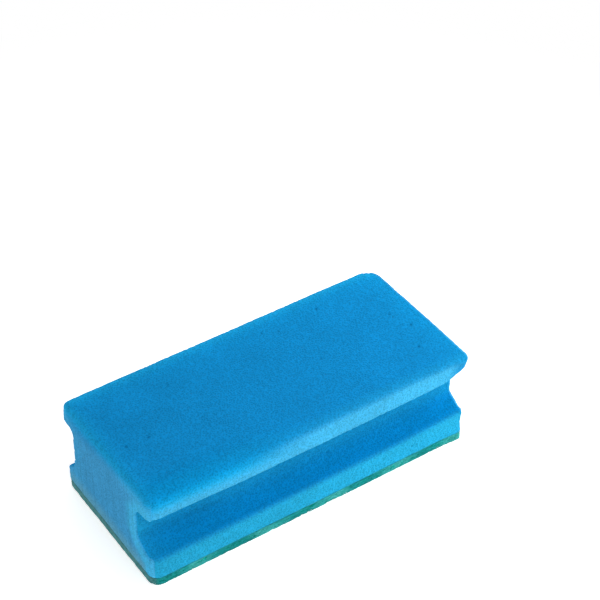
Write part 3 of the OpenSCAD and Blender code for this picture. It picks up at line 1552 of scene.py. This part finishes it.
@dataclass
class ScouringPad:
    """The non-woven pad: a rough core with loose fibres on its face and its cut edges.

    Attributes:
        outline: The outline that it shares with the foam.
        thickness: Thickness of the pad.
        rise: How far the core stays off the surface that the fibres touch.
        rim: How wide the core's edge that reaches down to that surface is.
        rim_fade: The distance over which it rises behind that edge.
        even_rim: Share of the unevenness that the edge has.
        rim_run: Distances from the edge, mostly upwards, over which the rest comes in.
        tufts: Height and size of the core's fine unevenness.
        lumps: Height and size of its coarse unevenness.
        sunk: How far the whole surface of the core is sunk, on average.
        smooth_top: Height of the layer under the glue where the core is even.
        floor_heights: Least and greatest height of a fibre on the working face.
        floor_margin: How far those fibres stay inside the cut edges.
        bed: How far the fibres of the cut edges lie in the core, on average.
        stand: How far they sway out of it.
        stand_turn: How much of that sway there is from ring to ring, in radians.
        glue_margin: How far under the glue they start.
        greying: How much greyer the pad is at its near end.
        greying_run: Distances from the near end over which it fades.
        grid: Width of a face of the core's mesh.
        face_layer: The fibres on the working face.
        edge_layer: The fibres on the cut edges.
        core_finish: The finish of the core, painted darker than the fibres with shade.
        face_finish: The finish of the fibres on the working face, painted paler with light.
        edge_finish: The finish of the fibres on the cut edges, painted paler with light.
    """

    outline: CutOutline
    thickness: float
    rise: float = 0.35
    rim: float = 0.3
    rim_fade: float = 0.8
    even_rim: float = 0.3
    rim_run: Pair = (0.2, 1.2)
    tufts: Pair = (0.30, 1.3)
    lumps: Pair = (0.25, 3.4)
    sunk: float = 0.10
    smooth_top: float = 0.6
    floor_heights: Pair = (0.18, 0.42)
    floor_margin: float = 0.4
    bed: float = 0.12
    stand: float = 0.16
    stand_turn: float = 0.8
    glue_margin: float = 0.2
    greying: float = 0.8
    greying_run: Pair = (2.5, 0.5)
    grid: float = 0.6
    face_layer: FibreLayer = FibreLayer(
        "scouring_pad_face_web", 4200, (6, 10), stray=0.09, wave=0.14, turn=0.9, step=1.5, seed=7
    )
    edge_layer: FibreLayer = FibreLayer(
        "scouring_pad_edge_web", 3000, (4, 8), stray=0.35, wave=0.12, turn=1.0, step=1.0, seed=19
    )
    # The same fleece: the core's darker shades are painted shade under the face's fibres, and those
    # fibres' paler shades are painted light on them.
    core_finish: BondedFleece = BondedFleece()
    face_finish: BondedFleece = BondedFleece(
        "coated_nylon_fibre", Shade.FLEECE_LIGHT, Shade.FLEECE_PALE, 0.45, 0.0
    )
    # The cut edges' fibres are painted paler with light.
    edge_finish: BondedFleece = BondedFleece(
        "cut_nylon_fibre", Shade.FLEECE_EDGE_PAINTED_LIGHT, Shade.FLEECE_EDGE_PAINTED_LIGHT_BAND, 0.35, 0.0
    )

    def build(self) -> list[bpy.types.Object]:
        """Makes the core and its fibres.

        Returns:
            The pieces, the core first.
        """
        parts = (
            (self.core(), self.core_finish),
            (self.face_web(), self.face_finish),
            (self.edge_web(), self.edge_finish),
        )
        pieces = []
        for mesh, finish in parts:
            # Greyer at the near end.
            from_end = vertex_places(mesh)[:, 0] + self.outline.length / 2
            write_share(mesh, "greyer_end_share", self.greying * smooth_step(*self.greying_run, from_end))
            mesh.materials.append(finish.material())
            piece = place_object(mesh.name, mesh)
            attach(piece, "root")
            pieces.append(piece)
        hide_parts("scouring_pad")
        return pieces

    def core(self) -> bpy.types.Mesh:
        """Makes the core as a slab with a rough surface.

        Returns:
            The core's mesh.
        """
        bm = bmesh.new()
        size = (self.outline.length, self.outline.width, self.thickness - self.rise)
        bmesh.ops.create_cube(bm, size=1.0)
        bmesh.ops.scale(bm, verts=bm.verts, vec=Vector(size) * MM)
        middle = Vector((0.0, 0.0, (self.thickness + self.rise) / 2)) * MM
        bmesh.ops.translate(bm, verts=bm.verts, vec=middle)
        mesh = remeshed(bm, "scouring_pad_core", self.grid)
        lay_out(mesh, slab_patches(mesh, self.outline, with_faces=True))
        places = vertex_places(mesh)
        from_edge = (self.outline.corner - np.abs(places[:, :2])).min(1)
        drop = self.rise * np.exp(-np.maximum(from_edge - self.rim, 0.0) / self.rim_fade)
        places[:, 2] -= drop * (places[:, 2] < self.thickness / 2)
        places = self.outline.cut(places)
        set_vertex_places(mesh, places)
        height = places[:, 2]
        rough = self.tufts[0] * drift(places, self.tufts[1], 11.0)
        rough += self.lumps[0] * drift(places, self.lumps[1], 12.0)
        rough *= smooth_step(self.thickness, self.thickness - self.smooth_top, height)
        # The rim of the working face stays more even, so that the pad stands flat on it.
        rough *= self.even_rim + (1.0 - self.even_rim) * smooth_step(
            *self.rim_run, height + 0.4 * from_edge
        )
        normals = read_vectors(mesh.vertex_normals, "vector")
        moved = places + normals * (rough - self.sunk)[:, None]
        moved[:, 2] = np.clip(moved[:, 2], 0.02, self.thickness)
        set_vertex_places(mesh, moved)
        mesh.shade_smooth()
        return mesh

    def face_web(self) -> bpy.types.Mesh:
        """Lays fibres over the working face, each a gentle arc that dips in and out.

        Returns:
            The mesh of the fibres.
        """
        layer = self.face_layer
        draw = np.random.default_rng(layer.seed)
        half = self.outline.corner - self.floor_margin
        lines = []
        for _ in range(layer.count):
            count = int(draw.integers(*layer.rings))
            start = draw.uniform(-half, half)
            heading = draw.uniform(0, math.tau)
            bend = draw.normal(0.0, layer.stray)
            turns = heading + bend * layer.step * np.arange(count - 1)
            steps = np.stack([np.cos(turns), np.sin(turns)], 1) * layer.step
            flat = np.concatenate([[start], start + np.cumsum(steps, axis=0)])
            inside = (np.abs(flat) < half).all(1)
            reach = len(flat) if inside.all() else int(np.argmin(inside))
            if reach < 3:
                continue
            wave = layer.wave * layer.swing(draw.uniform(0, math.tau), count)
            height = np.maximum(wave + draw.uniform(*self.floor_heights), layer.lowest)
            line = np.concatenate([flat, height[:, None]], 1)[:reach]
            lines.append(self.outline.cut(line))
        mesh = layer.tubes(lines)
        whole = np.full(len(mesh.polygons), True)
        lay_out(mesh, [Patch(whole, vertex_places(mesh)[:, :2])])
        return mesh

    def edge_web(self) -> bpy.types.Mesh:
        """Lays short fibres along the four cut edges, bedded in the core.

        Returns:
            The mesh of the fibres.
        """
        layer = self.edge_layer
        draw = np.random.default_rng(layer.seed)
        half = self.outline.corner
        perimeter = 4 * half.sum()
        lines = []
        for _ in range(layer.count):
            count = int(draw.integers(*layer.rings))
            along = draw.uniform(0, perimeter)
            slope = draw.normal(0.0, layer.stray)
            run = along + np.arange(count) * layer.step * math.cos(slope)
            start = draw.uniform(layer.radius, self.thickness - self.glue_margin)
            rise = start + np.arange(count) * layer.step * math.sin(slope)
            wave = layer.wave * layer.swing(draw.uniform(0, math.tau), count)
            height = np.clip(rise + wave, layer.lowest, self.thickness)
            sway = np.sin(draw.uniform(0, math.tau) + self.stand_turn * np.arange(count))
            flat = self.on_perimeter(run % perimeter, self.stand * sway - self.bed, half)
            line = np.concatenate([flat, height[:, None]], 1)
            lines.append(self.outline.cut(line))
        mesh = layer.tubes(lines)
        lay_out(mesh, slab_patches(mesh, self.outline, with_faces=False))
        return mesh

    @staticmethod
    def on_perimeter(run: np.ndarray, out: np.ndarray, half: np.ndarray) -> np.ndarray:
        """Turns distances round the pad into places in plan.

        Args:
            run: Distances round the perimeter.
            out: How far each point stands out of the cut face.
            half: Half of the pad's length and width.

        Returns:
            One X and Y per distance.
        """
        ends = np.cumsum(np.tile(2 * half, 2))
        starts = np.concatenate([[0.0], ends[:3]])
        side = np.searchsorted(ends, run, side="right").clip(0, 3)
        t = run - starts[side]
        x = np.choose(side, [t - half[0], half[0] + out, half[0] - t, -half[0] - out])
        y = np.choose(side, [-half[1] - out, t - half[1], half[1] + out, half[1] - t])
        return np.stack([x, y], 1)


@dataclass(frozen=True)
class CuredAdhesive:
    """Finish of cured hot-melt adhesive, a thin dull film that the foam and the pad tint.

    Attributes:
        smear: Size of the patches that each of them tints, in millimetres.
        bump: Depth of the film's unevenness, in millimetres.
        roughness: Roughness of the film.
    """

    smear: float = 2.5
    bump: float = 0.2
    roughness: float = 0.5

    def material(self) -> bpy.types.Material:
        """Builds the material.

        Returns:
            The material.
        """
        made, tree, place = bare_material("cured_hot_melt_adhesive")
        smear = add_node(
            tree,
            "ShaderNodeTexNoise",
            {"Scale": 1.0 / (self.smear * MM), "Detail": 3.0},
            {"Vector": place},
        )
        colour = add_node(
            tree,
            "ShaderNodeMix",
            {"data_type": "RGBA", 6: Shade.RESIN.linear, 7: Shade.FLEECE.linear},
            {0: smear.outputs["Fac"]},
        )
        bump = add_node(
            tree,
            "ShaderNodeBump",
            {"Strength": 0.5, "Distance": self.bump * MM},
            {"Height": smear.outputs["Fac"]},
        )
        shader = add_node(
            tree,
            "ShaderNodeBsdfPrincipled",
            {"Roughness": self.roughness, "Specular IOR Level": 0.4},
            {"Base Color": colour.outputs[2], "Normal": bump.outputs[0]},
        )
        add_node(tree, "ShaderNodeOutputMaterial", links={"Surface": shader.outputs[0]})
        return made


@dataclass
class GlueLine:
    """The cured adhesive between the foam and the pad, which shows as a fine dull line.

    Attributes:
        outline: The outline that it shares with the foam and the pad.
        bottom: Height of its lower face.
        top: Height of its upper face.
        inset: How far the film stops short of the cut faces.
        stray: The share by which that varies.
        stray_size: The distance over which it does.
        finish: The film's finish.
    """

    outline: CutOutline
    bottom: float
    top: float
    inset: float = 0.25
    stray: float = 0.6
    stray_size: float = 4.0
    finish: CuredAdhesive = field(default_factory=CuredAdhesive)

    def build(self) -> bpy.types.Object:
        """Makes the film with its wandering edge.

        Returns:
            The piece.
        """
        bm = bmesh.new()
        length, width = self.outline.length, self.outline.width
        bmesh.ops.create_grid(bm, x_segments=round(length), y_segments=round(width), size=0.5)
        bmesh.ops.scale(bm, verts=bm.verts, vec=Vector((length, width, 1.0)) * MM)
        bmesh.ops.translate(bm, verts=bm.verts, vec=Vector((0.0, 0.0, self.bottom * MM)))
        drawn = bmesh.ops.extrude_face_region(bm, geom=bm.faces[:], use_keep_orig=True)
        lifted = [v for v in drawn["geom"] if isinstance(v, bmesh.types.BMVert)]
        lift = Vector((0.0, 0.0, (self.top - self.bottom) * MM))
        bmesh.ops.translate(bm, verts=lifted, vec=lift)
        bmesh.ops.recalc_face_normals(bm, faces=bm.faces)
        film = bpy.data.meshes.new("glue_line")
        bm.to_mesh(film)
        bm.free()
        lay_out(film, slab_patches(film, self.outline, with_faces=True))
        places = self.outline.cut(vertex_places(film))
        wander = self.inset * (1.0 + self.stray * drift(places, self.stray_size, 21.0))
        places[:, :2] *= 1.0 - wander[:, None] / self.outline.corner
        set_vertex_places(film, places)
        film.materials.append(self.finish.material())
        piece = place_object("glue_line", film)
        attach(piece, "root")
        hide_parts("adhesive_film")
        return piece


@dataclass(frozen=True)
class Lamp:
    """A square soft box that looks at the sponge.

    Attributes:
        name: Its name.
        azimuth: Where it stands round the sponge, in degrees; 0 is in front, towards -Y.
        elevation: How high it stands, in degrees.
        distance: How far it stands, in metres.
        width: Its width, in metres.
        watts: Its power.
    """

    name: str
    azimuth: float
    elevation: float
    distance: float
    width: float
    watts: float

    def build(self, target: Vector) -> None:
        """Hangs the lamp and turns it to the target.

        Args:
            target: What it looks at, in metres.
        """
        data = bpy.data.lights.new(self.name, "AREA")
        data.shape = "SQUARE"
        data.size = self.width
        data.energy = self.watts
        lamp = bpy.data.objects.new(self.name, data)
        back = direction(self.azimuth, self.elevation)
        lamp.location = target + back * self.distance
        lamp.rotation_mode = "QUATERNION"
        lamp.rotation_quaternion = back.to_track_quat("Z", "Y")
        lamp.visible_camera = False
        bpy.context.scene.collection.objects.link(lamp)


def direction(azimuth: float, elevation: float) -> Vector:
    """The unit vector from the sponge to a place round it.

    Args:
        azimuth: Angle round the sponge in degrees, 0 in front and 90 to the right.
        elevation: Angle above the horizon in degrees.

    Returns:
        The unit vector.
    """
    turn, rise = math.radians(azimuth), math.radians(elevation)
    level = math.cos(rise)
    return Vector((math.sin(turn) * level, -math.cos(turn) * level, math.sin(rise)))


@dataclass(frozen=True)
class Studio:
    """The pale floor, the soft lamps, the world and the camera.

    Attributes:
        azimuth: Where the camera stands round the sponge, in degrees.
        elevation: How high it stands, in degrees.
        roll: How far it is rolled, in degrees.
        distance: Its distance from the middle of the sponge, in millimetres.
        lens: Its focal length on a 36 mm sensor, in millimetres.
        aim: Where the sponge's middle lies in the view, right and up of its centre, as
            shares of the view's width.
        sky: Strength of the even white light from all round.
        lift: How much whiter than its light the paper looks near the sponge.
        sweep: Distances from the sponge at which the paper starts to run out into plain
            white and at which it has done so, in millimetres.
        lamps: The soft boxes.
    """

    azimuth: float = -33.6
    elevation: float = 44.5
    roll: float = 0.05
    distance: float = 699.5
    lens: float = 109.67
    aim: Pair = (-0.0534, -0.2007)
    sky: float = 0.45
    lift: float = 0.48
    sweep: Pair = (110.0, 330.0)
    lamps: tuple[Lamp, ...] = (
        Lamp("key", 64.0, 40.0, 0.34, 0.2, 0.88),
        Lamp("front", 5.0, 22.0, 1.1, 0.9, 3.2),
        Lamp("fill", -82.0, 26.0, 1.2, 1.0, 4.6),
        Lamp("back", 165.0, 34.0, 1.2, 1.0, 2.6),
    )

    def build(self, middle: Vector) -> None:
        """Sets the studio round the sponge.

        Args:
            middle: The middle of the sponge's box.
        """
        self.floor()
        self.world()
        for lamp in self.lamps:
            lamp.build(middle)
        self.camera(middle)

    def camera(self, middle: Vector) -> None:
        """Places the camera, turned so that the sponge lies off the view's centre.

        Args:
            middle: The middle of the sponge's box.
        """
        data = bpy.data.cameras.new("camera")
        data.lens = self.lens
        data.sensor_width = 36.0
        data.clip_start, data.clip_end = 0.01, 10.0
        camera = bpy.data.objects.new("camera", data)
        back = direction(self.azimuth, self.elevation)
        level = back.to_track_quat("Z", "Y").to_matrix()
        rolled = level @ Matrix.Rotation(math.radians(self.roll), 3, "Z")
        sight = Vector(self.aim) * (data.sensor_width / self.lens)
        offset = Vector((0.0, 0.0, -1.0)).rotation_difference(
            Vector((sight.x, sight.y, -1.0)).normalized()
        )
        turned = rolled @ offset.to_matrix().inverted()
        stand = Matrix.Translation(middle + back * self.distance * MM)
        camera.matrix_world = stand @ turned.to_4x4()
        bpy.context.scene.collection.objects.link(camera)
        bpy.context.scene.camera = camera

    @staticmethod
    def seen_directly(tree: bpy.types.NodeTree) -> bpy.types.NodeSocket:
        """Tells the rays that look at the background from those that carry its light.

        Args:
            tree: The tree of a background.

        Returns:
            The socket of 1 for a ray from the camera, a gloss or a glass, and 0 otherwise.
        """
        path = add_node(tree, "ShaderNodeLightPath")
        seen = path.outputs["Is Camera Ray"]
        for ray in ("Is Glossy Ray", "Is Transmission Ray"):
            rays = {0: seen, 1: path.outputs[ray]}
            seen = add_node(tree, "ShaderNodeMath", {"operation": "MAXIMUM"}, rays).outputs[0]
        return seen

    def world(self) -> None:
        """Surrounds everything with even white light."""
        world = bpy.data.worlds.new("studio")
        world.use_nodes = True
        tree = world.node_tree
        tree.nodes.clear()
        strength = add_node(
            tree,
            "ShaderNodeMapRange",
            {"To Min": self.sky, "To Max": 1.0},
            {0: self.seen_directly(tree)},
        )
        sky = add_node(
            tree,
            "ShaderNodeBackground",
            {"Color": (1.0, 1.0, 1.0, 1.0)},
            {"Strength": strength.outputs[0]},
        )
        add_node(tree, "ShaderNodeOutputWorld", links={"Surface": sky.outputs[0]})
        bpy.context.scene.world = world

    def floor(self) -> None:
        """Lays a wide sheet of white paper under the sponge, which runs out into white."""
        bm = bmesh.new()
        bmesh.ops.create_grid(bm, x_segments=1, y_segments=1, size=4.0)
        mesh = bpy.data.meshes.new("floor")
        bm.to_mesh(mesh)
        bm.free()
        paper, tree, place = bare_material("white_paper")
        seen = self.seen_directly(tree)
        lift = add_node(tree, "ShaderNodeMath", {"operation": "MULTIPLY", 1: self.lift}, {0: seen})
        shader = add_node(
            tree,
            "ShaderNodeBsdfPrincipled",
            {
                "Base Color": Shade.PAPER.linear,
                "Roughness": 0.9,
                "Specular IOR Level": 0.1,
                "Emission Color": (1.0, 1.0, 1.0, 1.0),
            },
            {"Emission Strength": lift.outputs[0]},
        )
        away = add_node(tree, "ShaderNodeVectorMath", {"operation": "LENGTH"}, {0: place})
        start, end = self.sweep
        far = add_node(
            tree,
            "ShaderNodeMapRange",
            {"interpolation_type": "SMOOTHSTEP", "From Min": start * MM, "From Max": end * MM},
            {0: away.outputs["Value"]},
        )
        share = add_node(
            tree, "ShaderNodeMath", {"operation": "MULTIPLY"}, {0: far.outputs[0], 1: seen}
        )
        white = add_node(tree, "ShaderNodeEmission", {"Color": (1.0, 1.0, 1.0, 1.0), "Strength": 1.0})
        mixed = add_node(
            tree,
            "ShaderNodeMixShader",
            links={0: share.outputs[0], 1: shader.outputs[0], 2: white.outputs[0]},
        )
        add_node(tree, "ShaderNodeOutputMaterial", links={"Surface": mixed.outputs[0]})
        mesh.materials.append(paper)
        place_object("floor", mesh)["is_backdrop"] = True


def main() -> None:
    """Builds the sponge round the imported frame, then the studio."""
    logging.basicConfig(level=logging.INFO, format="%(name)s: %(message)s")
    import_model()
    packed_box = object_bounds()
    foam_low, foam_high = (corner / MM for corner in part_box("foam_block"))
    glue_low, glue_high = (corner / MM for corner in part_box("adhesive_film"))
    pad_low, pad_high = (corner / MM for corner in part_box("scouring_pad"))
    length, width, _ = pad_high - pad_low
    outline = CutOutline(length=length, width=width)
    pieces = [FoamBlock(outline, bottom=foam_low.z, top=foam_high.z).build()]
    pieces += ScouringPad(outline, thickness=pad_high.z - pad_low.z).build()
    pieces.append(GlueLine(outline, bottom=glue_low.z, top=glue_high.z).build())
    for piece in pieces:
        log.info("%s: %d faces", piece.name, len(piece.data.polygons))
    middle = (packed_box[0] + packed_box[1]) / 2
    Studio().build(middle)
    bpy.context.scene.view_settings.view_transform = "Standard"


if __name__ == "__main__":
    main()
